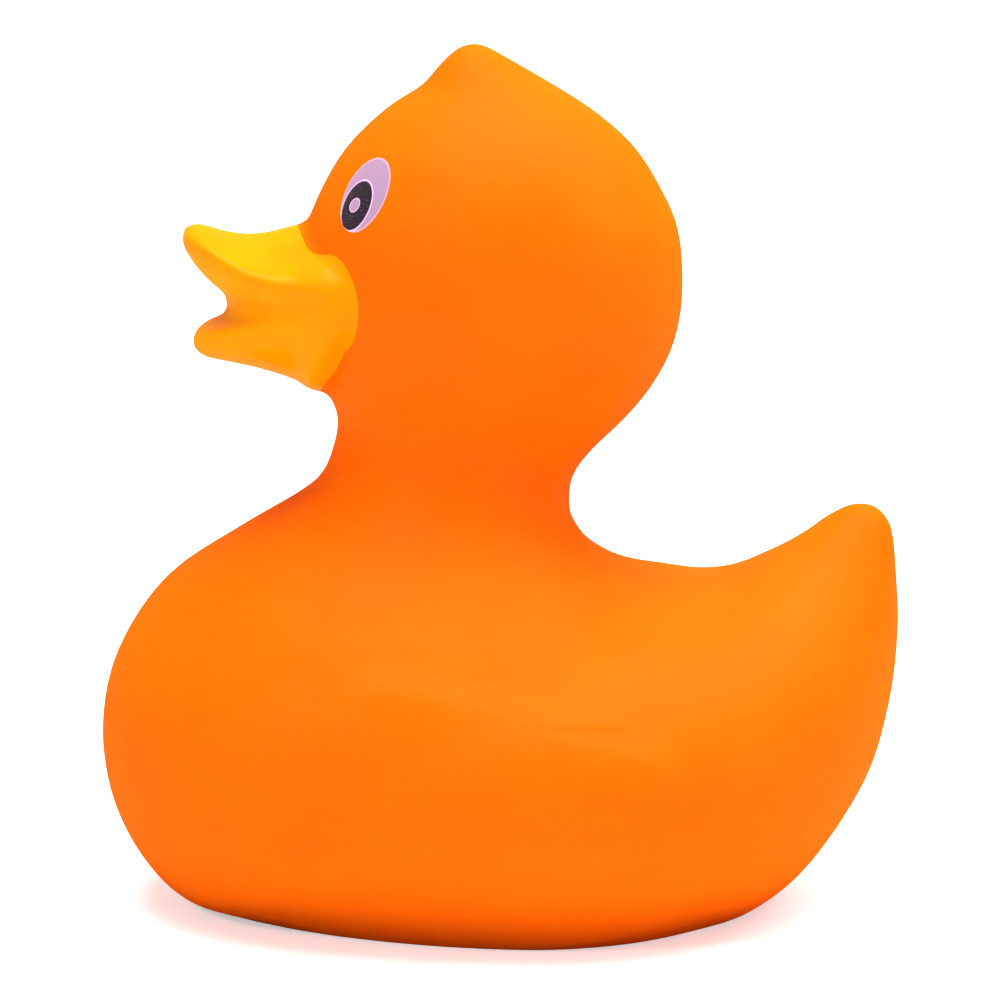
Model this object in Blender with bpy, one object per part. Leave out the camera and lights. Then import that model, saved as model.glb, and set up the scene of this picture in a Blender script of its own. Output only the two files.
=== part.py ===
"""A rubber duck: one hollow moulded skin of soft vinyl with a squeaker pressed into its flat base.

The duck faces -Y and stands on the XY plane, symmetric about X = 0.
"""

import math

import bmesh
import bpy
import numpy as np
from mathutils import Vector

MM = 0.001

# The whole duck: the tables below follow these sizes
DUCK_LENGTH = 77.8 * MM
DUCK_HEIGHT = 83.9 * MM
BODY_HALF_WIDTH = 33.5 * MM
HEAD_HALF_WIDTH = 18.2 * MM
BILL_HALF_WIDTH = 11.8 * MM

# The moulded skin
WALL = 2.0 * MM
BASE_WALL = 2.4 * MM
SKIN_GRAIN = 0.8 * MM
SKIN_FACETS = 9400
CAVITY_GRAIN = 1.8 * MM
ROUGH_CUT = -1.5 * MM
CAVITY_FACETS = 2000
RING_POINTS = 48
RINGS_PER_STATION = 3

# The wing, a low pad with three feather tips
WING_RELIEF = 0.6 * MM
WING_EDGE = 3.4 * MM

# The squeaker and the hole it sits in
SQUEAKER_X = 0.0 * MM
SQUEAKER_Y = -1.0 * MM
GAP = 0.3 * MM
HOLE_RADIUS = 5.0 * MM
FLANGE_RADIUS = 7.0 * MM
FLANGE_THICKNESS = 1.0 * MM
FLANGE_RECESS = 0.5 * MM
BARB_RADIUS = 5.9 * MM
BARB_LENGTH = 1.8 * MM
BARREL_RADIUS = 4.2 * MM
BARREL_LENGTH = 6.0 * MM
BORE_RADIUS = 2.6 * MM
AIR_HOLE_RADIUS = 0.9 * MM
REED_LENGTH = 5.0 * MM
ROUND_SEGMENTS = 40
CUT_MARGIN = 1.0 * MM

# Body sections from the tail tip round the belly to the neck. Each runs from a point on the
# back to a point on the outer side, as (Y, Z), with its half width as a share of the body's.
BODY_STATIONS = (
    ((35.6, 38.9), (36.9, 38.5), 0.03),
    ((34.2, 38.8), (38.2, 36.6), 0.085),
    ((32.0, 37.7), (38.7, 32.0), 0.16),
    ((30.0, 36.2), (38.9, 26.5), 0.25),
    ((28.0, 34.9), (38.1, 19.5), 0.37),
    ((26.2, 33.9), (35.8, 12.0), 0.52),
    ((24.6, 33.0), (30.6, 4.2), 0.68),
    ((23.3, 32.4), (25.2, -0.3), 0.79),
    ((22.0, 32.0), (18.5, -3.0), 0.87),
    ((20.6, 31.8), (11.0, -5.3), 0.94),
    ((19.2, 31.8), (2.0, -6.4), 0.985),
    ((17.8, 32.0), (-7.5, -5.5), 1.0),
    ((16.4, 32.2), (-16.5, -3.6), 1.0),
    ((15.0, 32.4), (-24.6, -1.4), 0.98),
    ((13.6, 32.7), (-31.2, 0.6), 0.95),
    ((12.2, 33.1), (-35.6, 5.2), 0.91),
    ((11.0, 33.6), (-38.2, 11.0), 0.87),
    ((10.0, 34.2), (-38.9, 17.8), 0.81),
    ((9.1, 34.8), (-37.3, 24.6), 0.73),
    ((8.2, 35.7), (-32.9, 31.2), 0.63),
    ((7.4, 36.9), (-26.3, 35.8), 0.53),
    ((6.8, 38.5), (-20.0, 39.6), 0.445),
)

# Neck and head sections are level: height, front and back, and the half width as a share of
# the head's. The front behind the bill is a plain round forehead.
HEAD_STATIONS = (
    (41.7, -17.5, 7.1, 0.735),
    (44.4, -16.3, 9.0, 0.68),
    (47.4, -15.8, 12.1, 0.71),
    (50.4, -16.8, 14.6, 0.815),
    (54.0, -17.6, 16.6, 0.91),
    (58.0, -18.4, 17.6, 0.98),
    (62.5, -18.9, 17.7, 1.0),
    (66.5, -18.6, 17.1, 0.975),
    (70.2, -17.1, 15.4, 0.90),
    (73.5, -15.1, 13.3, 0.79),
    (76.0, -12.8, 10.8, 0.67),
    (78.1, -10.3, 8.0, 0.54),
    (79.8, -7.6, 5.3, 0.42),
    (81.4, -6.2, 2.6, 0.30),
    (82.8, -4.9, 0.2, 0.19),
    (83.6, -3.8, -1.2, 0.09),
    (83.9, -2.9, -1.9, 0.03),
)

# Bill sections stand across the bill: distance along Y, the heights of the underside, of the
# rims and of the top at the middle, and the half width at the rims. The top is a roof whose
# slopes bulge a little, by the power.
UPPER_BILL_STATIONS = (
    (-12.0, 57.5, 61.8, 68.6, 11.8),
    (-16.0, 57.6, 61.8, 68.2, 11.6),
    (-18.0, 57.8, 61.8, 67.0, 11.2),
    (-20.0, 58.0, 61.9, 66.3, 10.6),
    (-23.5, 58.5, 62.4, 65.5, 9.3),
    (-26.5, 59.6, 63.8, 65.7, 7.4),
    (-28.8, 61.5, 65.0, 66.4, 5.2),
    (-30.1, 63.2, 65.3, 66.4, 3.1),
    (-30.8, 64.4, 65.1, 65.7, 1.2),
)
LOWER_BILL_STATIONS = (
    (-12.0, 49.8, 57.6, 58.6, 10.8),
    (-16.5, 49.8, 57.8, 58.6, 10.7),
    (-20.0, 51.3, 58.2, 58.9, 9.9),
    (-23.5, 52.4, 57.7, 58.3, 8.5),
    (-26.5, 53.0, 56.9, 57.6, 6.5),
    (-28.5, 53.4, 56.2, 56.9, 4.4),
    (-29.5, 54.0, 55.5, 56.0, 2.4),
    (-29.9, 54.5, 55.0, 55.4, 0.9),
)
ROOF_POWER = 1.25

# The web that closes the mouth between the halves: distance along Y, middle height, half height
# and half width
MOUTH_WEB_STATIONS = (
    (-12.0, 59.2, 6.2, 12.6),
    (-14.5, 59.2, 6.2, 12.2),
    (-17.0, 59.3, 5.8, 11.0),
    (-20.0, 59.3, 5.0, 9.6),
    (-23.0, 59.1, 4.4, 8.1),
    (-25.2, 58.9, 3.2, 5.8),
    (-26.1, 58.8, 2.0, 3.4),
    (-26.5, 58.7, 0.8, 1.2),
)

# Feathers of the wing in the side view: root and tip as (Y, Z), and half widths there
WING_FEATHERS = (
    ((-11.0, 22.5), (11.5, 22.5), 6.0, 1.6),
    ((-10.0, 20.0), (13.2, 18.0), 8.5, 4.4),
    ((-9.0, 17.5), (9.0, 13.0), 8.0, 4.6),
)

# The size of one unit of the tables along Y, along Z and across the bill, about 1 mm each
OUTER_Y = [far[0] for _, far, _ in BODY_STATIONS]
Y_UNIT = DUCK_LENGTH / (max(OUTER_Y) - min(OUTER_Y))
Z_UNIT = DUCK_HEIGHT / HEAD_STATIONS[-1][0]
BILL_UNIT = BILL_HALF_WIDTH / UPPER_BILL_STATIONS[0][-1]

ORANGE = (1.0, 0.16, 0.002, 1.0)
MILKY = (0.85, 0.85, 0.80, 1.0)
WHITE = (0.9, 0.9, 0.9, 1.0)


def clear_scene():
    for thing in list(bpy.data.objects):
        bpy.data.objects.remove(thing, do_unlink=True)


def make_material(name, colour, roughness):
    material = bpy.data.materials.new(name)
    material.use_nodes = True
    shader = material.node_tree.nodes["Principled BSDF"]
    shader.inputs["Base Color"].default_value = colour
    shader.inputs["Roughness"].default_value = roughness
    shader.inputs["Metallic"].default_value = 0.0
    return material


def smooth_row(rows, place):
    """The row at a fractional place in a list of rows, on a smooth curve through them all."""
    last = len(rows) - 1
    index = min(int(place), last - 1)
    part = place - index
    before, start, end, after = (
        np.array(rows[min(max(index + step, 0), last)]) for step in (-1, 0, 1, 2)
    )
    return 0.5 * (
        2 * start
        + (end - before) * part
        + (2 * before - 5 * start + 4 * end - after) * part**2
        + (3 * start - before - 3 * end + after) * part**3
    )


def ring_edges(verts):
    return list({edge for vert in verts for edge in vert.link_edges})


def add_oval(bm, near, far, half_width):
    """An oval of edges round the line from near to far in the plane X = 0."""
    made = bmesh.ops.create_circle(bm, segments=RING_POINTS, radius=1.0)["verts"]
    for vert in made:
        across, along, _ = vert.co
        vert.co = (near + far) / 2 + (far - near) / 2 * along
        vert.co.x = half_width * across
    return ring_edges(made)


def add_bill_ring(bm, y, low, rim, high, half_width):
    """A ring across the bill: a roof above the rims and half an oval below them."""
    made = bmesh.ops.create_circle(bm, segments=RING_POINTS, radius=1.0)["verts"]
    for vert in made:
        across, along, _ = vert.co
        roof = (high - rim) * (1 - abs(across) ** ROOF_POWER)
        height = rim + (roof if along > 0 else (rim - low) * along)
        vert.co = (half_width * across * BILL_UNIT, y * Y_UNIT, height * Z_UNIT)
    return ring_edges(made)


def add_loft(bm, rings):
    """A closed skin through rings of edges."""
    for first, second in zip(rings, rings[1:]):
        bmesh.ops.bridge_loops(bm, edges=first + second)
    for end in (rings[0], rings[-1]):
        bmesh.ops.edgeloop_fill(bm, edges=end)


def smooth_rows(rows):
    count = (len(rows) - 1) * RINGS_PER_STATION
    return [smooth_row(rows, number / RINGS_PER_STATION) for number in range(count + 1)]


def duck_rings(bm, inset):
    """Rings from the tail tip to the crest, drawn in by the inset on every side."""
    rows = [(*near, *far, share * BODY_HALF_WIDTH) for near, far, share in BODY_STATIONS]
    rows += [
        (back, height, front, height, share * HEAD_HALF_WIDTH)
        for height, front, back, share in HEAD_STATIONS
    ]
    rings = []
    for near_y, near_z, far_y, far_z, half_width in smooth_rows(rows):
        near = Vector((0.0, near_y * Y_UNIT, near_z * Z_UNIT))
        far = Vector((0.0, far_y * Y_UNIT, far_z * Z_UNIT))
        if (far - near).length > 3 * inset and half_width > 1.5 * inset:
            shift = (far - near).normalized() * inset
            rings.append(add_oval(bm, near + shift, far - shift, half_width - inset))
    return rings


def bill_rings(bm, stations):
    return [add_bill_ring(bm, *row) for row in smooth_rows(stations)]


def web_rings(bm):
    rings = []
    for y, height, half_height, half_width in smooth_rows(MOUTH_WEB_STATIONS):
        low = Vector((0.0, y * Y_UNIT, (height - half_height) * Z_UNIT))
        high = Vector((0.0, y * Y_UNIT, (height + half_height) * Z_UNIT))
        rings.append(add_oval(bm, low, high, half_width * BILL_UNIT))
    return rings


def new_object(name, bm, material):
    mesh = bpy.data.meshes.new(name)
    bmesh.ops.recalc_face_normals(bm, faces=bm.faces)
    bm.to_mesh(mesh)
    bm.free()
    mesh.materials.append(material)
    thing = bpy.data.objects.new(name, mesh)
    bpy.context.scene.collection.objects.link(thing)
    return thing


def apply_modifiers(thing):
    """Replace the object's mesh by what its modifiers make of it."""
    bpy.context.view_layer.update()
    graph = bpy.context.evaluated_depsgraph_get()
    done = bpy.data.meshes.new_from_object(thing.evaluated_get(graph))
    thing.modifiers.clear()
    thing.data = done


def fuse(thing, grain, rounds):
    """Melt overlapping closed shapes into one skin and smooth the seams between them."""
    remesh = thing.modifiers.new("fuse", "REMESH")
    remesh.mode = "VOXEL"
    remesh.voxel_size = grain
    soften = thing.modifiers.new("soften", "SMOOTH")
    soften.factor = 0.5
    soften.iterations = rounds
    apply_modifiers(thing)


def thin_out(thing, facets):
    thing.data.calc_loop_triangles()
    share = facets / len(thing.data.loop_triangles)
    if share < 1.0:
        reduce = thing.modifiers.new("thin out", "DECIMATE")
        reduce.ratio = share
        apply_modifiers(thing)


def smooth_step(low, high, value):
    part = np.clip((value - low) / (high - low), 0.0, 1.0)
    return part * part * (3 - 2 * part)


def feather_depth(side_view, feather):
    """How far inside a tapered feather each point of the side view lies, in the tables' units."""
    root, tip, root_width, tip_width = (np.array(part) for part in feather)
    along = tip - root
    from_root = side_view - root
    part = np.clip(from_root @ along / (along @ along), 0.0, 1.0)
    away = np.linalg.norm(from_root - part[:, None] * along, axis=1)
    return root_width + (tip_width - root_width) * part - away


def raise_wings(thing):
    """Push the skin outwards where the side view falls inside a feather."""
    mesh = thing.data
    points = np.empty(len(mesh.vertices) * 3)
    normals = np.empty(len(mesh.vertices) * 3)
    mesh.vertices.foreach_get("co", points)
    mesh.vertices.foreach_get("normal", normals)
    points = points.reshape(-1, 3)
    normals = normals.reshape(-1, 3)
    side_view = points[:, 1:] / (Y_UNIT, Z_UNIT)
    depth = np.max([feather_depth(side_view, feather) for feather in WING_FEATHERS], axis=0)
    height = WING_RELIEF * smooth_step(0.0, WING_EDGE / Y_UNIT, depth)
    outside = smooth_step(0.45, 0.75, np.abs(points[:, 0]) / BODY_HALF_WIDTH)
    points += normals * (height * outside)[:, None]
    mesh.vertices.foreach_set("co", points.ravel())
    mesh.update()


def cut_flat(thing, height):
    """Cut the object level and keep what is above."""
    bm = bmesh.new()
    bm.from_mesh(thing.data)
    everything = list(bm.verts) + list(bm.edges) + list(bm.faces)
    cut = bmesh.ops.bisect_plane(
        bm, geom=everything, plane_co=(0.0, 0.0, height), plane_no=(0.0, 0.0, 1.0), clear_inner=True
    )
    rim = [item for item in cut["geom_cut"] if isinstance(item, bmesh.types.BMEdge)]
    bmesh.ops.edgeloop_fill(bm, edges=rim)
    bmesh.ops.triangulate(bm, faces=bm.faces)
    bm.to_mesh(thing.data)
    bm.free()
    thing.data.update()


def subtract(thing, cutter):
    """Cut the cutter's shape out of the object, and keep the cutter as a hidden guide."""
    cut = thing.modifiers.new("cut " + cutter.name, "BOOLEAN")
    cut.operation = "DIFFERENCE"
    cut.solver = "EXACT"
    cut.object = cutter
    cutter.hide_render = True
    cutter.display_type = "WIRE"


def make_cavity(material):
    bm = bmesh.new()
    add_loft(bm, duck_rings(bm, WALL))
    cavity = new_object("cavity_form", bm, material)
    fuse(cavity, CAVITY_GRAIN, 3)
    thin_out(cavity, CAVITY_FACETS)
    cut_flat(cavity, BASE_WALL)
    return cavity


def make_duck_shell():
    vinyl = make_material("orange_vinyl", ORANGE, 0.45)
    bm = bmesh.new()
    add_loft(bm, duck_rings(bm, 0.0))
    add_loft(bm, bill_rings(bm, UPPER_BILL_STATIONS))
    add_loft(bm, bill_rings(bm, LOWER_BILL_STATIONS))
    add_loft(bm, web_rings(bm))
    shell = new_object("duck_shell", bm, vinyl)
    fuse(shell, SKIN_GRAIN, 3)
    raise_wings(shell)
    cut_flat(shell, ROUGH_CUT)
    thin_out(shell, SKIN_FACETS)
    cut_flat(shell, 0.0)
    subtract(shell, make_cavity(vinyl))
    subtract(shell, make_squeaker_seat(vinyl))
    apply_modifiers(shell)
    shell.data.shade_smooth()
    shell.data.set_sharp_from_angle(angle=math.radians(50))
    return shell


def turned(name, profile, material):
    """A round piece on the squeaker's axis, spun from (radius, height) points round a closed loop."""
    bm = bmesh.new()
    verts = [bm.verts.new((radius, 0.0, height)) for radius, height in profile]
    edges = [bm.edges.new(pair) for pair in zip(verts, verts[1:] + verts[:1])]
    bmesh.ops.spin(
        bm,
        geom=verts + edges,
        cent=(0.0, 0.0, 0.0),
        axis=(0.0, 0.0, 1.0),
        angle=2 * math.pi,
        steps=ROUND_SEGMENTS,
        use_merge=True,
    )
    bmesh.ops.remove_doubles(bm, verts=bm.verts, dist=0.000001)
    bmesh.ops.translate(bm, verts=bm.verts, vec=(SQUEAKER_X, SQUEAKER_Y, 0.0))
    thing = new_object(name, bm, material)
    thing.data.shade_smooth()
    thing.data.set_sharp_from_angle(angle=math.radians(35))
    return thing


def make_squeaker_seat(material):
    """The stepped hole in the base: a shallow counterbore for the flange and the hole above it."""
    low = -CUT_MARGIN
    high = BASE_WALL + CUT_MARGIN
    flange_top = FLANGE_RECESS + FLANGE_THICKNESS + GAP
    profile = (
        (0.0, low),
        (FLANGE_RADIUS + GAP, low),
        (FLANGE_RADIUS + GAP, flange_top),
        (HOLE_RADIUS, flange_top),
        (HOLE_RADIUS, high),
        (0.0, high),
    )
    return turned("squeaker_seat_form", profile, material)


def make_squeaker_body():
    plastic = make_material("squeaker_plastic", MILKY, 0.4)
    bottom = FLANGE_RECESS
    shoulder = bottom + FLANGE_THICKNESS
    barb = BASE_WALL + GAP
    top = barb + BARB_LENGTH + BARREL_LENGTH
    profile = (
        (AIR_HOLE_RADIUS, bottom),
        (FLANGE_RADIUS, bottom),
        (FLANGE_RADIUS, shoulder),
        (HOLE_RADIUS - GAP, shoulder),
        (HOLE_RADIUS - GAP, barb),
        (BARB_RADIUS, barb),
        (BARREL_RADIUS, barb + BARB_LENGTH),
        (BARREL_RADIUS, top),
        (BORE_RADIUS, top),
        (BORE_RADIUS, shoulder),
        (AIR_HOLE_RADIUS, shoulder),
    )
    return turned("squeaker_body", profile, plastic)


def make_squeaker_reed():
    """A half round plug in the squeaker's bore, past whose flat side the air sounds."""
    white = make_material("reed_plastic", WHITE, 0.35)
    radius = BORE_RADIUS - GAP
    bm = bmesh.new()
    bmesh.ops.create_cone(
        bm, cap_ends=True, segments=24, radius1=radius, radius2=radius, depth=REED_LENGTH
    )
    everything = list(bm.verts) + list(bm.edges) + list(bm.faces)
    cut = bmesh.ops.bisect_plane(
        bm, geom=everything, plane_co=(0.0, 0.0, 0.0), plane_no=(0.0, 1.0, 0.0), clear_outer=True
    )
    rim = [item for item in cut["geom_cut"] if isinstance(item, bmesh.types.BMEdge)]
    bmesh.ops.edgeloop_fill(bm, edges=rim)
    base = FLANGE_RECESS + FLANGE_THICKNESS + GAP + REED_LENGTH / 2
    bmesh.ops.translate(bm, verts=bm.verts, vec=(SQUEAKER_X, SQUEAKER_Y, base))
    return new_object("squeaker_reed", bm, white)


def main():
    clear_scene()
    make_duck_shell()
    make_squeaker_body()
    make_squeaker_reed()


main()
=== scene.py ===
# %% [markdown]
# # A rubber duck
#
# The real toy is one hollow skin of soft orange vinyl, cast in a turning mould, with a squeaker
# pressed into its flat base. Its bill is sprayed with glossy yellow paint through a mask, and its
# eyes are pad printed. Everything here starts from the measured frame, so that each new form lies
# exactly where the solid that it replaces lies.

# %% Load the frame
import math

import bmesh
import bpy
import numpy as np
from mathutils import Matrix, Vector


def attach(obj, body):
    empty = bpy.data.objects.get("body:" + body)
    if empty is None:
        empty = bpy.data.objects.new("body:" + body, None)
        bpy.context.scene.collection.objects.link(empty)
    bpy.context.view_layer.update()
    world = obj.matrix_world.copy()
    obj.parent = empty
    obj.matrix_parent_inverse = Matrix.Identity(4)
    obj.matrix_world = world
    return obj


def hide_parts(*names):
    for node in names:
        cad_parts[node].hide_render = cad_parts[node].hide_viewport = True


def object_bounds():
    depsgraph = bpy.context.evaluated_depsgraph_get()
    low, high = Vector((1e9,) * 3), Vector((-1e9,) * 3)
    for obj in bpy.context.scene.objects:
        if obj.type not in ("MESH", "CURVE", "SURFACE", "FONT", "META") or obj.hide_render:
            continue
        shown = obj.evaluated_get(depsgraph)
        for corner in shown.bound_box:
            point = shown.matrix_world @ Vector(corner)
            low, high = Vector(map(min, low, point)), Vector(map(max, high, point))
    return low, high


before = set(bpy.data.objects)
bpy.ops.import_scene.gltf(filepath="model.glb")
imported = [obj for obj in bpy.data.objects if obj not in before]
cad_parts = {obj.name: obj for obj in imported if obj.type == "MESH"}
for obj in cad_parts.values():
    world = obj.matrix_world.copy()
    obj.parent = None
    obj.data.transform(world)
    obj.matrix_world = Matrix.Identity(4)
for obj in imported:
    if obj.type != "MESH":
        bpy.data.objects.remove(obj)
MM = 0.001


def as_lists(bounds):
    return [[float(value) for value in corner] for corner in bounds]


cad_box = as_lists(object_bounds())
print("frame box in mm:", [[round(value / MM, 1) for value in corner] for corner in cad_box])

# %% [markdown]
# ## The camera
#
# A long lens from far away flattens a small thing gently, as in a product photograph. The camera
# stands on the duck's left side, a little above it, and looks at a point halfway up its axis.
# Placing it by a target, a distance and the width it takes in keeps all three easy to change.

# %% Place the camera
CAMERA_TARGET = Vector((0.0, 0.0, 39.24)) * MM
CAMERA_DISTANCE = 700.0 * MM
CAMERA_RISE = math.radians(9.5)
VIEW_WIDTH = 97.5 * MM
SENSOR_WIDTH = 36.0


def make_camera():
    data = bpy.data.cameras.new("camera")
    data.sensor_width = SENSOR_WIDTH
    data.lens = SENSOR_WIDTH * CAMERA_DISTANCE / VIEW_WIDTH
    data.clip_start = 10 * MM
    camera = bpy.data.objects.new("camera", data)
    bpy.context.scene.collection.objects.link(camera)
    towards = Vector((math.cos(CAMERA_RISE), 0.0, math.sin(CAMERA_RISE)))
    camera.location = CAMERA_TARGET + CAMERA_DISTANCE * towards
    camera.rotation_euler = towards.to_track_quat("Z", "Y").to_euler()
    return camera


bpy.context.scene.camera = make_camera()
print("lens in mm:", round(bpy.context.scene.camera.data.lens, 1))

# %% [markdown]
# ## Helpers for materials
#
# A material here is a small graph of nodes. One helper adds a node, sets the sockets that have
# plain values and links the others, so each finish below reads as a list of its steps.

# %% Small helpers for nodes


def new_material(name):
    material = bpy.data.materials.new(name)
    material.use_nodes = True
    nodes = material.node_tree.nodes
    return material, nodes["Principled BSDF"]


def add_node(tree, kind, inputs=(), **settings):
    """Add a node, give it its settings, and fill or link its inputs by name or number."""
    node = tree.nodes.new(kind)
    for name, value in settings.items():
        setattr(node, name, value)
    for key, value in dict(inputs).items():
        if isinstance(value, bpy.types.NodeSocket):
            tree.links.new(value, node.inputs[key])
        else:
            node.inputs[key].default_value = value
    return node


def math_node(tree, operation, *values):
    return add_node(tree, "ShaderNodeMath", dict(enumerate(values)), operation=operation).outputs[0]


def vector_node(tree, operation, *values):
    node = add_node(tree, "ShaderNodeVectorMath", dict(enumerate(values)), operation=operation)
    scalar = operation in ("DOT_PRODUCT", "LENGTH", "DISTANCE")
    return node.outputs["Value" if scalar else "Vector"]


def fade(tree, value, low, high, start=0.0, end=1.0):
    """A soft step from start to end as the value goes from low to high."""
    node = add_node(
        tree,
        "ShaderNodeMapRange",
        {"Value": value, "From Min": low, "From Max": high, "To Min": start, "To Max": end},
        interpolation_type="SMOOTHSTEP",
    )
    return node.outputs["Result"]


def mix_colours(tree, share, under, over):
    node = add_node(tree, "ShaderNodeMix", {"Factor": share}, data_type="RGBA")
    for socket, value in ((node.inputs[6], under), (node.inputs[7], over)):
        if isinstance(value, bpy.types.NodeSocket):
            tree.links.new(value, socket)
        else:
            socket.default_value = value
    return node.outputs[2]


def object_place(tree):
    return add_node(tree, "ShaderNodeTexCoord").outputs["Object"]


def grain_noise(tree, place, size, detail=2.0, roughness=0.5):
    """Noise whose blotches are about as wide as the size in metres."""
    inputs = {"Vector": place, "Scale": 1.0 / size, "Detail": detail, "Roughness": roughness}
    return add_node(tree, "ShaderNodeTexNoise", inputs).outputs["Fac"]


def bump(tree, shader, height, distance, strength=1.0):
    inputs = {"Height": height, "Distance": distance, "Strength": strength}
    node = add_node(tree, "ShaderNodeBump", inputs)
    tree.links.new(node.outputs["Normal"], shader.inputs["Normal"])


print("node helpers ready")

# %% [markdown]
# ## The forms of the duck
#
# The clay original was plainly one flowing form, so the skin is lofted: oval rings are laid from
# the tip of the tail round the belly to the neck and on up to the crest, as a fan that turns
# about the saddle of the back. The bill's two halves and the web between them are lofts as well.
# A ring is a bmesh circle whose points are moved on to an oval. Each row of the tables is a real
# place in millimetres, read from the side view.

# %% Tables of the forms
BODY_HALF_WIDTH = 33.5
HEAD_HALF_WIDTH = 18.2

# From the tail tip round the belly to the neck: a point on the back, a point on the outer side,
# both as (Y, Z), and the half width as a share of the body's.
BODY_STATIONS = (
    ((35.6, 38.9), (36.9, 38.5), 0.03),
    ((34.2, 38.8), (38.2, 36.6), 0.085),
    ((32.0, 37.7), (38.7, 32.0), 0.16),
    ((30.0, 36.2), (38.9, 26.5), 0.25),
    ((28.0, 34.9), (38.1, 19.5), 0.37),
    ((26.2, 33.9), (35.8, 12.0), 0.52),
    ((24.6, 33.0), (30.6, 4.2), 0.68),
    ((23.3, 32.4), (25.2, -0.3), 0.79),
    ((22.0, 32.0), (18.5, -3.0), 0.87),
    ((20.6, 31.8), (11.0, -5.3), 0.94),
    ((19.2, 31.8), (2.0, -6.4), 0.985),
    ((17.8, 32.0), (-7.5, -5.5), 1.0),
    ((16.4, 32.2), (-16.5, -3.6), 1.0),
    ((15.0, 32.4), (-24.6, -1.4), 0.98),
    ((13.6, 32.7), (-31.2, 0.6), 0.95),
    ((12.2, 33.1), (-35.6, 5.2), 0.91),
    ((11.0, 33.6), (-38.2, 11.0), 0.87),
    ((10.0, 34.2), (-38.9, 17.8), 0.81),
    ((9.1, 34.8), (-37.3, 24.6), 0.73),
    ((8.2, 35.7), (-32.9, 31.2), 0.63),
    ((7.4, 36.9), (-26.3, 35.8), 0.53),
    ((6.8, 38.5), (-20.0, 39.6), 0.445),
)

# Level sections of the neck and head: height, front, back, half width as a share of the head's.
HEAD_STATIONS = (
    (41.7, -17.5, 7.1, 0.735),
    (44.4, -16.3, 9.0, 0.68),
    (47.4, -15.8, 12.1, 0.71),
    (50.4, -16.8, 14.6, 0.815),
    (54.0, -17.6, 16.6, 0.91),
    (58.0, -18.4, 17.6, 0.98),
    (62.5, -18.9, 17.7, 1.0),
    (66.5, -18.6, 17.1, 0.975),
    (70.2, -17.1, 15.4, 0.90),
    (73.5, -15.1, 13.3, 0.79),
    (76.0, -12.8, 10.8, 0.67),
    (78.1, -10.3, 8.0, 0.54),
    (79.8, -7.6, 5.3, 0.42),
    (81.4, -6.2, 2.6, 0.30),
    (82.8, -4.9, 0.2, 0.19),
    (83.6, -3.8, -1.2, 0.09),
    (83.9, -2.9, -1.9, 0.03),
)

# Sections across the bill: distance along Y, the heights of the underside, of the rims and of the
# top at the middle, and the half width at the rims.
UPPER_BILL_STATIONS = (
    (-12.0, 57.5, 61.8, 68.6, 11.8),
    (-16.0, 57.6, 61.8, 68.2, 11.6),
    (-18.0, 57.8, 61.8, 67.0, 11.2),
    (-20.0, 58.0, 61.9, 66.3, 10.6),
    (-23.5, 58.5, 62.4, 65.5, 9.3),
    (-26.5, 59.6, 63.8, 65.7, 7.4),
    (-28.8, 61.5, 65.0, 66.4, 5.2),
    (-30.1, 63.2, 65.3, 66.4, 3.1),
    (-30.8, 64.4, 65.1, 65.7, 1.2),
)
LOWER_BILL_STATIONS = (
    (-12.0, 49.8, 57.6, 58.6, 10.8),
    (-16.5, 49.8, 57.8, 58.6, 10.7),
    (-20.0, 51.3, 58.2, 58.9, 9.9),
    (-23.5, 52.4, 57.7, 58.3, 8.5),
    (-26.5, 53.0, 56.9, 57.6, 6.5),
    (-28.5, 53.4, 56.2, 56.9, 4.4),
    (-29.5, 54.0, 55.5, 56.0, 2.4),
    (-29.9, 54.5, 55.0, 55.4, 0.9),
)
ROOF_POWER = 1.25

# The web that closes the mouth: distance along Y, middle height, half height and half width.
MOUTH_WEB_STATIONS = (
    (-12.0, 59.2, 6.2, 12.6),
    (-14.5, 59.2, 6.2, 12.2),
    (-17.0, 59.3, 5.8, 11.0),
    (-20.0, 59.3, 5.0, 9.6),
    (-23.0, 59.1, 4.4, 8.1),
    (-25.2, 58.9, 3.2, 5.8),
    (-26.1, 58.8, 2.0, 3.4),
    (-26.5, 58.7, 0.8, 1.2),
)
print(len(BODY_STATIONS), "body stations and", len(HEAD_STATIONS), "head stations")

# %% Rings and lofts
RING_POINTS = 64
RINGS_PER_STATION = 4


def smooth_row(rows, place):
    """The row at a fractional place in a list of rows, on a smooth curve through them all."""
    last = len(rows) - 1
    index = min(int(place), last - 1)
    part = place - index
    before, start, end, after = (
        np.array(rows[min(max(index + step, 0), last)]) for step in (-1, 0, 1, 2)
    )
    return 0.5 * (
        2 * start
        + (end - before) * part
        + (2 * before - 5 * start + 4 * end - after) * part**2
        + (3 * start - before - 3 * end + after) * part**3
    )


def smooth_rows(rows, steps):
    count = (len(rows) - 1) * steps
    return [smooth_row(rows, number / steps) for number in range(count + 1)]


def ring_edges(verts):
    return list({edge for vert in verts for edge in vert.link_edges})


def add_oval(bm, near, far, half_width):
    """An oval of edges round the line from near to far."""
    made = bmesh.ops.create_circle(bm, segments=RING_POINTS, radius=1.0)["verts"]
    for vert in made:
        across, along, _ = vert.co
        vert.co = (near + far) / 2 + (far - near) / 2 * along
        vert.co.x = half_width * across
    return ring_edges(made)


def add_bill_ring(bm, y, low, rim, high, half_width):
    """A ring across the bill: a roof above the rims and half an oval below them."""
    made = bmesh.ops.create_circle(bm, segments=RING_POINTS, radius=1.0)["verts"]
    for vert in made:
        across, along, _ = vert.co
        roof = (high - rim) * (1 - abs(across) ** ROOF_POWER)
        height = rim + (roof if along > 0 else (rim - low) * along)
        vert.co = Vector((half_width * across, y, height)) * MM
    return ring_edges(made)


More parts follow.
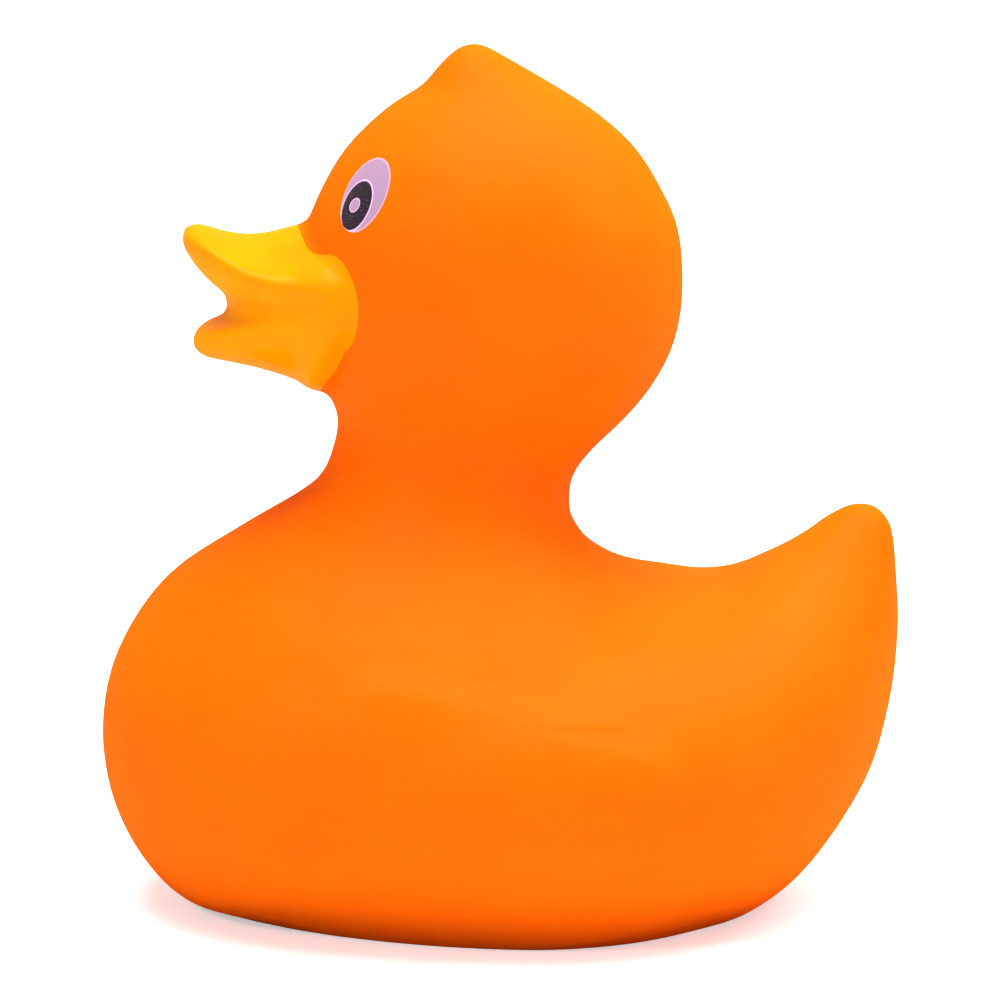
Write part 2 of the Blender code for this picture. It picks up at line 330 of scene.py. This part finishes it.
def add_loft(bm, rings):
    for first, second in zip(rings, rings[1:]):
        bmesh.ops.bridge_loops(bm, edges=first + second)
    for end in (rings[0], rings[-1]):
        bmesh.ops.edgeloop_fill(bm, edges=end)


def duck_sections(inset):
    """Rings from the tail to the crest, drawn in by the inset in millimetres on every side."""
    rows = [(*near, *far, share * BODY_HALF_WIDTH) for near, far, share in BODY_STATIONS]
    rows += [
        (back, height, front, height, share * HEAD_HALF_WIDTH)
        for height, front, back, share in HEAD_STATIONS
    ]
    for near_y, near_z, far_y, far_z, half_width in smooth_rows(rows, RINGS_PER_STATION):
        near = Vector((0.0, near_y, near_z))
        far = Vector((0.0, far_y, far_z))
        if (far - near).length > 3 * inset and half_width > 1.5 * inset:
            shift = (far - near).normalized() * inset
            yield (near + shift) * MM, (far - shift) * MM, (half_width - inset) * MM


def duck_rings(bm, inset):
    return [add_oval(bm, *section) for section in duck_sections(inset)]


def bill_rings(bm, stations):
    return [add_bill_ring(bm, *row) for row in smooth_rows(stations, RINGS_PER_STATION)]


def web_rings(bm):
    rings = []
    for y, height, half_height, half_width in smooth_rows(MOUTH_WEB_STATIONS, RINGS_PER_STATION):
        low = Vector((0.0, y, height - half_height)) * MM
        high = Vector((0.0, y, height + half_height)) * MM
        rings.append(add_oval(bm, low, high, half_width * MM))
    return rings


print("loft helpers ready")

# %% [markdown]
# ## One skin out of many forms
#
# On the real toy the bill flows out of the face with no seam, because the mould is one hollow.
# Boolean unions would leave a sharp line wherever two forms meet. A voxel remesh melts all the
# closed forms into one even skin instead, and a few rounds of smoothing give every meeting line
# the small fillet that a mould has.

# %% Melt the forms into one skin
SKIN_GRAIN = 0.5 * MM
SKIN_ROUNDS = 6


def new_object(name, bm):
    mesh = bpy.data.meshes.new(name)
    bmesh.ops.recalc_face_normals(bm, faces=bm.faces)
    bm.to_mesh(mesh)
    bm.free()
    thing = bpy.data.objects.new(name, mesh)
    bpy.context.scene.collection.objects.link(thing)
    return thing


def apply_modifiers(thing):
    """Replace the object's mesh by what its modifiers make of it."""
    bpy.context.view_layer.update()
    graph = bpy.context.evaluated_depsgraph_get()
    done = bpy.data.meshes.new_from_object(thing.evaluated_get(graph))
    thing.modifiers.clear()
    thing.data = done


def fuse(thing, grain, rounds):
    remesh = thing.modifiers.new("fuse", "REMESH")
    remesh.mode = "VOXEL"
    remesh.voxel_size = grain
    soften = thing.modifiers.new("soften", "SMOOTH")
    soften.factor = 0.5
    soften.iterations = rounds
    apply_modifiers(thing)


def make_skin_form():
    bm = bmesh.new()
    add_loft(bm, duck_rings(bm, 0.0))
    add_loft(bm, bill_rings(bm, UPPER_BILL_STATIONS))
    add_loft(bm, bill_rings(bm, LOWER_BILL_STATIONS))
    add_loft(bm, web_rings(bm))
    skin = new_object("duck_skin", bm)
    fuse(skin, SKIN_GRAIN, SKIN_ROUNDS)
    return skin


duck_skin = make_skin_form()
print("skin faces after melting:", len(duck_skin.data.polygons))

# %% [markdown]
# ## The wings
#
# Each wing is only a low swelling with three overlapping feather tips and a few short creases.
# Such relief is quickly lost in a loft, so it is carved the way a sculptor would: every point of
# the skin moves outwards or inwards along its normal by an amount that depends on where it lies
# in the side view.

# %% Carve the wings
# Feathers in the side view: root and tip as (Y, Z), and the half widths there.
WING_FEATHERS = (
    ((-11.0, 22.5), (11.5, 22.5), 6.0, 1.6),
    ((-10.0, 20.0), (13.2, 18.0), 8.5, 4.4),
    ((-9.0, 17.5), (9.0, 13.0), 8.0, 4.6),
)
WING_RELIEF = 0.6
WING_EDGE = 3.4

# Short creases between the small feathers: two ends as (Y, Z) and the depth.
WING_CREASES = (
    ((-16.7, 21.0), (-18.2, 15.7), 0.10),
    ((-7.8, 20.2), (-8.8, 16.0), 0.09),
    ((-10.3, 25.0), (-11.3, 23.6), 0.05),
    ((-2.3, 24.9), (-2.8, 23.1), 0.05),
    ((-12.8, 10.6), (-13.5, 6.9), 0.05),
    ((-4.9, 10.5), (-5.4, 7.3), 0.05),
)
CREASE_HALF_WIDTH = 0.5


def smooth_step(low, high, value):
    part = np.clip((value - low) / (high - low), 0.0, 1.0)
    return part * part * (3 - 2 * part)


def from_segment(side_view, start, end):
    """Distance of each (Y, Z) point from a segment, and how far along the nearest place is."""
    start = np.array(start)
    along = np.array(end) - start
    from_start = side_view - start
    part = np.clip(from_start @ along / max(along @ along, 1e-9), 0.0, 1.0)
    return np.linalg.norm(from_start - part[:, None] * along, axis=1), part


def vertex_rows(mesh, name):
    rows = np.empty(len(mesh.vertices) * 3)
    mesh.vertices.foreach_get(name, rows)
    return rows.reshape(-1, 3)


def wing_height(side_view):
    depths = []
    for root, tip, root_width, tip_width in WING_FEATHERS:
        away, part = from_segment(side_view, root, tip)
        depths.append(root_width + (tip_width - root_width) * part - away)
    height = WING_RELIEF * smooth_step(0.0, WING_EDGE, np.max(depths, axis=0))
    for start, end, depth in WING_CREASES:
        away, _ = from_segment(side_view, start, end)
        height -= depth * np.exp(-((away / CREASE_HALF_WIDTH) ** 2))
    return height


def carve_wings(thing):
    mesh = thing.data
    points = vertex_rows(mesh, "co")
    normals = vertex_rows(mesh, "normal")
    outside = smooth_step(0.45, 0.75, np.abs(points[:, 0]) / (BODY_HALF_WIDTH * MM))
    height = wing_height(points[:, 1:] / MM) * outside * MM
    points += normals * height[:, None]
    mesh.vertices.foreach_set("co", points.ravel())
    mesh.update()
    return height


wing_lift = carve_wings(duck_skin)
print("wing stands proud by up to", round(wing_lift.max() / MM, 2), "mm")

# %% [markdown]
# ## Flat base, hollow and squeaker seat
#
# The toy stands on a flat underside and is hollow, with a stepped hole for the squeaker. The
# underside is cut level, and the hollow and the hole are taken out by Booleans, because those
# edges are crisp on the real thing too.

# %% Cut the base and the hollow
WALL = 2.0
BASE_WALL = 2.4 * MM
CAVITY_GRAIN = 1.8 * MM
SQUEAKER_Y = -1.0 * MM
GAP = 0.3 * MM
HOLE_RADIUS = 5.0 * MM
FLANGE_RADIUS = 7.0 * MM
FLANGE_THICKNESS = 1.0 * MM
FLANGE_RECESS = 0.5 * MM
CUT_MARGIN = 1.0 * MM
ROUND_STEPS = 64


def cut_flat(thing, height):
    """Cut the object level, keep what is above and close the cut."""
    bm = bmesh.new()
    bm.from_mesh(thing.data)
    everything = list(bm.verts) + list(bm.edges) + list(bm.faces)
    cut = bmesh.ops.bisect_plane(
        bm, geom=everything, plane_co=(0.0, 0.0, height), plane_no=(0.0, 0.0, 1.0), clear_inner=True
    )
    rim = [item for item in cut["geom_cut"] if isinstance(item, bmesh.types.BMEdge)]
    bmesh.ops.edgeloop_fill(bm, edges=rim)
    bm.to_mesh(thing.data)
    bm.free()
    thing.data.update()


def make_cavity():
    bm = bmesh.new()
    add_loft(bm, duck_rings(bm, WALL))
    cavity = new_object("cavity_form", bm)
    fuse(cavity, CAVITY_GRAIN, 3)
    cut_flat(cavity, BASE_WALL)
    return cavity


def make_squeaker_seat():
    """The stepped hole in the base, as a profile spun round the squeaker's axis."""
    step = FLANGE_RECESS + FLANGE_THICKNESS + GAP
    top = BASE_WALL + CUT_MARGIN
    wide = FLANGE_RADIUS + GAP
    profile = ((0, -CUT_MARGIN), (wide, -CUT_MARGIN), (wide, step), (HOLE_RADIUS, step), (HOLE_RADIUS, top), (0, top))
    bm = bmesh.new()
    verts = [bm.verts.new((radius, 0.0, height)) for radius, height in profile]
    edges = [bm.edges.new(pair) for pair in zip(verts, verts[1:])]
    bmesh.ops.spin(
        bm, geom=verts + edges, cent=(0.0, 0.0, 0.0), axis=(0.0, 0.0, 1.0),
        angle=2 * math.pi, steps=ROUND_STEPS, use_merge=True,
    )
    bmesh.ops.remove_doubles(bm, verts=bm.verts, dist=0.001 * MM)
    bmesh.ops.translate(bm, verts=bm.verts, vec=(0.0, SQUEAKER_Y, 0.0))
    return new_object("squeaker_seat_form", bm)


def subtract(thing, cutter):
    cut = thing.modifiers.new("cut", "BOOLEAN")
    cut.operation = "DIFFERENCE"
    cut.solver = "EXACT"
    cut.object = cutter
    apply_modifiers(thing)
    bpy.data.objects.remove(cutter)


cut_flat(duck_skin, 0.0)
subtract(duck_skin, make_cavity())
subtract(duck_skin, make_squeaker_seat())
print("skin faces after cutting:", len(duck_skin.data.polygons))

# %% [markdown]
# ## Where the paint and the print lie
#
# The bill paint ends in a crisp line where the spray mask lay, and the eye is an oval that a
# soft pad pressed on to the face. To give such fields their own finish, the skin's faces are cut
# exactly along each outline: every mesh edge that crosses it is split at the crossing, and the
# new points are joined across the faces.

# %% Outlines of the paint and the eye
# The mask's edge on the left cheek in the side view as (Y, Z), from the top of the bill's root
# round the corner of the mouth to the chin.
BILL_PAINT_EDGE = (
    (-20.2, 67.8), (-19.6, 66.4), (-19.0, 65.4), (-18.5, 64.75), (-17.9, 64.4), (-17.1, 64.4),
    (-16.1, 64.6), (-15.4, 64.4), (-14.8, 63.8), (-14.1, 62.6), (-13.7, 61.4), (-13.5, 59.9),
    (-13.7, 57.7), (-14.1, 56.3), (-14.9, 55.2), (-15.7, 53.5), (-16.8, 51.8), (-17.4, 50.5),
    (-18.2, 48.6),
)
BILL_PAINT_AHEAD = -60.0

EYE_CENTRE = Vector((10.5, -13.0, 70.6)) * MM
EYE_FACING = Vector((0.577, -0.677, 0.458)).normalized()
EYE_RADII = (3.06 * MM, 3.88 * MM)
PUPIL_CENTRE = (-0.50 * MM, -1.21 * MM)
PUPIL_RADII = (2.01 * MM, 2.52 * MM)
GLINT_CENTRE = (-0.70 * MM, -1.24 * MM)
GLINT_RADIUS = 0.77 * MM
EYE_ACROSS = Vector((0.0, 0.0, 1.0)).cross(EYE_FACING).normalized()
EYE_UP = EYE_FACING.cross(EYE_ACROSS)
EYE_REACH = 5.0 * MM


def bill_paint_field(points):
    """Distance from the mask's edge in metres, positive on the painted side."""
    side_view = points[:, 1:] / MM
    edge = np.array(smooth_rows(BILL_PAINT_EDGE, 4))
    away = np.min([from_segment(side_view, a, b)[0] for a, b in zip(edge, edge[1:])], axis=0)
    corners = np.vstack([edge, (BILL_PAINT_AHEAD, edge[-1][1]), (BILL_PAINT_AHEAD, edge[0][1])])
    inside = np.zeros(len(points), bool)
    for (y_one, z_one), (y_two, z_two) in zip(corners, np.roll(corners, -1, axis=0)):
        level = (z_one > side_view[:, 1]) != (z_two > side_view[:, 1])
        rise = z_two - z_one if z_two != z_one else 1.0
        cross = y_one + (side_view[:, 1] - z_one) * (y_two - y_one) / rise
        inside ^= level & (side_view[:, 0] < cross)
    return np.where(inside, away, -away) * MM


def eye_field(points):
    """Positive inside the printed oval of either eye."""
    mirrored = points.copy()
    mirrored[:, 0] = np.abs(mirrored[:, 0])
    offset = mirrored - np.array(EYE_CENTRE)
    across = offset @ np.array(EYE_ACROSS) / EYE_RADII[0]
    up = offset @ np.array(EYE_UP) / EYE_RADII[1]
    near = np.abs(offset @ np.array(EYE_FACING)) < EYE_REACH
    return np.where(near, 1.0 - np.hypot(across, up), -1.0) * EYE_RADII[0]


print("eye", round(2 * EYE_RADII[0] / MM, 1), "by", round(2 * EYE_RADII[1] / MM, 1), "mm")

# %% Raise the painted corner of the mouth
LOBE_RISE = 0.8
LOBE_EDGE = (-0.3, 2.2)
LOBE_FRONT = (-20.0, -16.5)


def raise_lobes(thing):
    """Lift the skin just inside the mask's edge, as the moulded border of the bill stands proud."""
    mesh = thing.data
    points = vertex_rows(mesh, "co")
    inside = smooth_step(*LOBE_EDGE, bill_paint_field(points) / MM)
    behind = smooth_step(*LOBE_FRONT, points[:, 1] / MM)
    points += vertex_rows(mesh, "normal") * (LOBE_RISE * MM * inside * behind)[:, None]
    mesh.vertices.foreach_set("co", points.ravel())
    mesh.update()


raise_lobes(duck_skin)
print("mouth corners raised by", LOBE_RISE, "mm")

# %% Cut the faces along an outline and give the inside its finish
SPLIT_MARGIN = 0.08
FAR_AWAY = 4.0 * MM


def split_along(thing, field, slot):
    """Split the faces where the field changes sign, and give those inside a material slot."""
    values = field(vertex_rows(thing.data, "co"))
    bm = bmesh.new()
    bm.from_mesh(thing.data)
    bm.verts.ensure_lookup_table()
    shares = {}
    for edge in bm.edges:
        first, second = (values[vert.index] for vert in edge.verts)
        if first * second < 0 and abs(first) < FAR_AWAY:
            share = first / (first - second)
            shares[edge] = min(max(share, SPLIT_MARGIN), 1 - SPLIT_MARGIN)
    made = bmesh.ops.bisect_edges(bm, edges=list(shares), cuts=1, edge_percents=shares)
    new = [item for item in made["geom_split"] if isinstance(item, bmesh.types.BMVert)]
    bmesh.ops.connect_verts(bm, verts=new)
    centres = np.array([face.calc_center_median() for face in bm.faces])
    inside = field(centres) > 0
    for face, within in zip(bm.faces, inside):
        if within:
            face.material_index = slot
    bm.to_mesh(thing.data)
    bm.free()
    return int(inside.sum())


PAINT_SLOT = 1
EYE_SLOT = 2
print("painted faces:", split_along(duck_skin, bill_paint_field, PAINT_SLOT))
print("printed faces:", split_along(duck_skin, eye_field, EYE_SLOT))

# %% [markdown]
# ## Soft orange vinyl
#
# The skin is coloured right through and has a satin surface, a little softer to the light than
# hard plastic, because light sinks into it. A weak, short subsurface share gives that. Very fine
# bumps stand for the sandblasted mould, and slow noise varies the colour by a few per cent.

# %% The vinyl
VINYL_ORANGE = (1.0, 0.154, 0.0015, 1.0)
VINYL_DEEP = (1.0, 0.143, 0.0012, 1.0)


def make_vinyl():
    material, shader = new_material("orange_vinyl")
    tree = material.node_tree
    place = object_place(tree)
    drift = grain_noise(tree, place, 14 * MM, detail=3.0)
    colour = mix_colours(tree, fade(tree, drift, 0.35, 0.65), VINYL_DEEP, VINYL_ORANGE)
    tree.links.new(colour, shader.inputs["Base Color"])
    mottle = grain_noise(tree, place, 0.9 * MM, detail=3.0)
    tree.links.new(fade(tree, mottle, 0.3, 0.7, 0.46, 0.52), shader.inputs["Roughness"])
    shader.inputs["Specular IOR Level"].default_value = 0.0
    shader.inputs["Coat Weight"].default_value = 0.05
    shader.inputs["Coat Roughness"].default_value = 0.45
    shader.inputs["Subsurface Weight"].default_value = 0.12
    shader.inputs["Subsurface Radius"].default_value = (1.0, 0.35, 0.1)
    shader.inputs["Subsurface Scale"].default_value = 1.2 * MM
    fine = grain_noise(tree, place, 0.22 * MM, detail=2.0)
    bump(tree, shader, fine, 0.012 * MM)
    return material


vinyl = make_vinyl()
print("finish:", vinyl.name)

# %% [markdown]
# ## Glossy bill paint
#
# The yellow is a sprayed lacquer, so it is glossier than the vinyl and mirrors the lamp in small
# broken highlights, where dust and the vinyl's grain show through the film. A coat over a plain
# yellow base does that, with a bump of its own.

# %% The bill paint
PAINT_YELLOW = (1.0, 0.33, 0.0008, 1.0)
PAINT_DEEP = (0.97, 0.30, 0.0006, 1.0)


def make_bill_paint():
    material, shader = new_material("bill_paint")
    tree = material.node_tree
    place = object_place(tree)
    drift = grain_noise(tree, place, 5 * MM, detail=2.0)
    colour = mix_colours(tree, fade(tree, drift, 0.35, 0.65), PAINT_DEEP, PAINT_YELLOW)
    tree.links.new(colour, shader.inputs["Base Color"])
    shader.inputs["Roughness"].default_value = 0.4
    shader.inputs["Specular IOR Level"].default_value = 0.0
    shader.inputs["Coat Weight"].default_value = 0.07
    shader.inputs["Coat Roughness"].default_value = 0.12
    fine = grain_noise(tree, place, 0.25 * MM, detail=3.0)
    bump(tree, shader, fine, 0.02 * MM)
    return material


bill_paint = make_bill_paint()
print("finish:", bill_paint.name)

# %% [markdown]
# ## The printed eye
#
# A pad print lays flat ink fields one over the other: a pale lilac oval, a dark pupil with a
# round glint left open in it, and a thin lighter rim where the layers don't quite meet. The same
# plane coordinates that cut the oval also draw these fields, so they stay round on the curved
# face. The coordinates use the distance from the middle of the duck, so both eyes match.

# %% The eye print
EYE_LILAC = (0.45, 0.27, 0.41, 1.0)
EYE_RIM = (0.80, 0.42, 0.52, 1.0)
EYE_DARK = (0.020, 0.009, 0.016, 1.0)
EYE_SPECK = (0.35, 0.28, 0.42, 1.0)
PUPIL_RIM = (0.80, 0.52, 0.80, 1.0)
PRINT_BLUR = 0.05 * MM


def eye_plane(tree):
    """The place in the plane of the eye, as (across, up, 0) from the oval's centre."""
    parts = add_node(tree, "ShaderNodeSeparateXYZ", {0: object_place(tree)}).outputs
    mirrored = add_node(
        tree, "ShaderNodeCombineXYZ", {"X": math_node(tree, "ABSOLUTE", parts[0]), "Y": parts[1], "Z": parts[2]}
    ).outputs[0]
    offset = vector_node(tree, "SUBTRACT", mirrored, EYE_CENTRE)
    across = vector_node(tree, "DOT_PRODUCT", offset, EYE_ACROSS)
    up = vector_node(tree, "DOT_PRODUCT", offset, EYE_UP)
    return add_node(tree, "ShaderNodeCombineXYZ", {"X": across, "Y": up}).outputs[0]


def oval_inset(tree, plane, centre, radii):
    """Roughly how far inside an oval the place lies, in metres."""
    offset = vector_node(tree, "SUBTRACT", plane, (*centre, 0.0))
    unit = vector_node(tree, "DIVIDE", offset, (*radii, 1.0))
    distance = vector_node(tree, "LENGTH", unit)
    return math_node(tree, "MULTIPLY", math_node(tree, "SUBTRACT", 1.0, distance), radii[0])


def make_eye_print():
    material, shader = new_material("eye_print")
    tree = material.node_tree
    plane = eye_plane(tree)
    oval = oval_inset(tree, plane, (0.0, 0.0), EYE_RADII)
    pupil = oval_inset(tree, plane, PUPIL_CENTRE, PUPIL_RADII)
    glint = oval_inset(tree, plane, GLINT_CENTRE, (GLINT_RADIUS, GLINT_RADIUS))
    colour = mix_colours(tree, fade(tree, oval, 0.10 * MM, 0.18 * MM), EYE_RIM, EYE_LILAC)
    colour = mix_colours(tree, fade(tree, pupil, -0.16 * MM, -0.10 * MM), colour, PUPIL_RIM)
    speck_noise = grain_noise(tree, plane, 0.16 * MM, detail=1.0)
    specks = fade(tree, speck_noise, 0.66, 0.72, 0.0, 0.6)
    ink = mix_colours(tree, specks, EYE_DARK, EYE_SPECK)
    colour = mix_colours(tree, fade(tree, pupil, 0.0, PRINT_BLUR), colour, ink)
    colour = mix_colours(tree, fade(tree, glint, 0.0, PRINT_BLUR), colour, PUPIL_RIM)
    colour = mix_colours(tree, fade(tree, glint, 0.10 * MM, 0.16 * MM), colour, EYE_LILAC)
    tree.links.new(colour, shader.inputs["Base Color"])
    shader.inputs["Roughness"].default_value = 0.4
    shader.inputs["Specular IOR Level"].default_value = 0.12
    bump(tree, shader, grain_noise(tree, plane, 0.2 * MM), 0.01 * MM)
    return material


eye_print = make_eye_print()
print("finish:", eye_print.name)

# %% Dress the skin and put it in place of the plain solid
for finish in (vinyl, bill_paint, eye_print):
    duck_skin.data.materials.append(finish)
duck_skin.data.shade_smooth()
duck_skin.data.set_sharp_from_angle(angle=math.radians(50))
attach(duck_skin, "root")
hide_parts("duck_shell")
duck_skin.data.calc_loop_triangles()
print("skin triangles:", len(duck_skin.data.loop_triangles))

# %% [markdown]
# ## The squeaker
#
# The squeaker is turned and moulded in pale plastic, and its solids already have the right
# shape, so they stay and only get better finishes: a milky, slightly cloudy polyethylene for the
# body and a plain white plastic for the reed.

# %% Finish the squeaker
MILKY = (0.80, 0.80, 0.74, 1.0)
MILKY_CLOUD = (0.72, 0.72, 0.66, 1.0)
REED_WHITE = (0.85, 0.85, 0.85, 1.0)
REED_SHADE = (0.78, 0.78, 0.78, 1.0)


def make_moulded_plastic(name, light, dark, roughness):
    material, shader = new_material(name)
    tree = material.node_tree
    place = object_place(tree)
    cloud = grain_noise(tree, place, 3 * MM, detail=2.0)
    colour = mix_colours(tree, fade(tree, cloud, 0.35, 0.65), dark, light)
    tree.links.new(colour, shader.inputs["Base Color"])
    shader.inputs["Roughness"].default_value = roughness
    bump(tree, shader, grain_noise(tree, place, 0.3 * MM), 0.01 * MM)
    return material


def dress_node(name, material):
    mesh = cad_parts[name].data
    for index in range(len(mesh.materials)):
        mesh.materials[index] = material


dress_node("squeaker_body", make_moulded_plastic("squeaker_plastic", MILKY, MILKY_CLOUD, 0.38))
dress_node("squeaker_reed", make_moulded_plastic("reed_plastic", REED_WHITE, REED_SHADE, 0.32))
print("squeaker dressed")

# %% [markdown]
# ## Floor, light and white surroundings
#
# The duck stands on a white floor in a white room. A large soft lamp hangs above, a smaller one
# stands in front to the left and gives the bill its highlights, and the surroundings fill the
# shadows. The white behind the duck is only what the camera and mirror-like rays see, so that it
# doesn't light the duck.

# %% Build the floor
FLOOR_HALF = 2.0
FLOOR_WHITE = (0.88, 0.88, 0.88, 1.0)
SHADOW_REACH = 0.10
WHITE_REACH = 0.25
FLOOR_GLOW = 0.5


def make_floor_white():
    """Lit paper that keeps the shadow near the duck and turns plain white for the camera further out."""
    material, shader = new_material("floor_white")
    tree = material.node_tree
    shader.inputs["Base Color"].default_value = FLOOR_WHITE
    shader.inputs["Roughness"].default_value = 0.9
    shader.inputs["Specular IOR Level"].default_value = 0.1
    away = vector_node(tree, "LENGTH", object_place(tree))
    glow = fade(tree, away, SHADOW_REACH, WHITE_REACH, FLOOR_GLOW, 1.0)
    light_path = add_node(tree, "ShaderNodeLightPath").outputs
    seen = math_node(tree, "MULTIPLY", light_path["Is Camera Ray"], glow)
    shader.inputs["Emission Color"].default_value = (1.0, 1.0, 1.0, 1.0)
    tree.links.new(seen, shader.inputs["Emission Strength"])
    return material


def make_floor():
    bm = bmesh.new()
    bmesh.ops.create_grid(bm, x_segments=1, y_segments=1, size=FLOOR_HALF)
    floor = new_object("floor", bm)
    floor.data.materials.append(make_floor_white())
    return floor


floor = make_floor()
print("floor ready")

# %% Hang the lamps and set the surroundings
ROOM_STRENGTH = 0.17
LAMP_AIM = (0.0, 0.0, 0.04)

# Each lamp's name, place, size across and power.
LAMPS = (
    ("overhead_lamp", (0.0, 0.0, 0.80), 0.70, 10.6),
    ("rear_top_lamp", (-0.15, 0.45, 0.60), 0.40, 2.8),
    ("far_side_fill", (-0.85, 0.0, 0.30), 0.60, 1.0),
    ("rear_fill", (0.25, 0.75, 0.25), 0.50, 1.3),
    ("gloss_lamp", (0.50, -0.45, 0.42), 0.05, 1.3),
)


def make_lamp(name, place, size, power):
    data = bpy.data.lights.new(name, "AREA")
    data.shape = "SQUARE"
    data.size = size
    data.energy = power
    lamp = bpy.data.objects.new(name, data)
    bpy.context.scene.collection.objects.link(lamp)
    lamp.location = place
    lamp.rotation_euler = (lamp.location - Vector(LAMP_AIM)).to_track_quat("Z", "Y").to_euler()
    return lamp


def make_room():
    world = bpy.data.worlds.new("room")
    bpy.context.scene.world = world
    world.use_nodes = True
    tree = world.node_tree
    light_path = add_node(tree, "ShaderNodeLightPath").outputs
    seen = math_node(
        tree,
        "ADD",
        light_path["Is Camera Ray"],
        math_node(tree, "ADD", light_path["Is Glossy Ray"], light_path["Is Transmission Ray"]),
    )
    seen = add_node(tree, "ShaderNodeClamp", {"Value": seen}).outputs[0]
    strength = fade(tree, seen, 0.0, 1.0, ROOM_STRENGTH, 1.0)
    background = tree.nodes["Background"]
    background.inputs["Color"].default_value = (1.0, 1.0, 1.0, 1.0)
    tree.links.new(strength, background.inputs["Strength"])


make_room()
for name, place, size, power in LAMPS:
    make_lamp(name, place, size, power)
bpy.context.scene.view_settings.view_transform = "Standard"
print("lamps and room ready")
